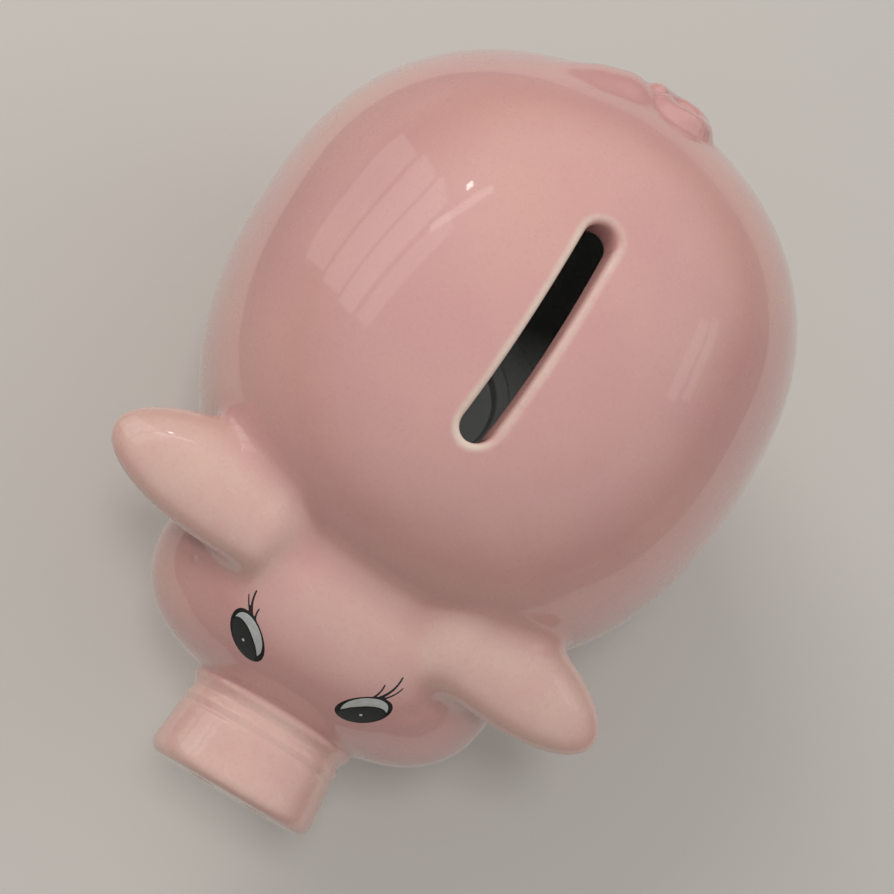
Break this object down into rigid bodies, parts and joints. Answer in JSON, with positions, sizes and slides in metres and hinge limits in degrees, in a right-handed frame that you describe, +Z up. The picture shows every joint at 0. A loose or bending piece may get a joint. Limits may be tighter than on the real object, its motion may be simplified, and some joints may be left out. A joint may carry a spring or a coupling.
{
  "type": "piggy bank",
  "caption": "Hollow glazed ceramic pig with a coin slot in its back, sideways ears, an oval snout, stubby legs and a rubber stopper in the belly.",
  "frame": {"origin": "on the floor, under the middle of the bounding box", "axes": "the head faces -Y, the pig's left side is +X, +Z is up"},
  "size_m": [0.099, 0.138, 0.1095],
  "materials": {
    "pink_glaze": "gloss pink glaze over earthenware",
    "pale_glaze": "gloss pink glaze, paler where it is thin",
    "dark_print": "gloss fired print",
    "pale_print": "gloss fired print",
    "stopper_rubber": "soft matt rubber"
  },
  "bodies": {
    "bank": {"body_shell": "pink_glaze", "head_shell": "pink_glaze", "tail": "pink_glaze", "front_left_leg": "pink_glaze", "front_right_leg": "pink_glaze", "rear_left_leg": "pink_glaze", "rear_right_leg": "pink_glaze", "snout": "pale_glaze", "left_ear": "pale_glaze", "right_ear": "pale_glaze", "left_eye_print": "dark_print", "right_eye_print": "dark_print", "left_eye_white": "pale_print", "right_eye_white": "pale_print"},
    "stopper": {"stopper": "stopper_rubber"}
  },
  "joints": [
    {"name": "stopper_pull", "type": "slide", "parent": "bank", "child": "stopper", "axis": [0, 0, -1], "range_m": [0, 0.009]}
  ]
}
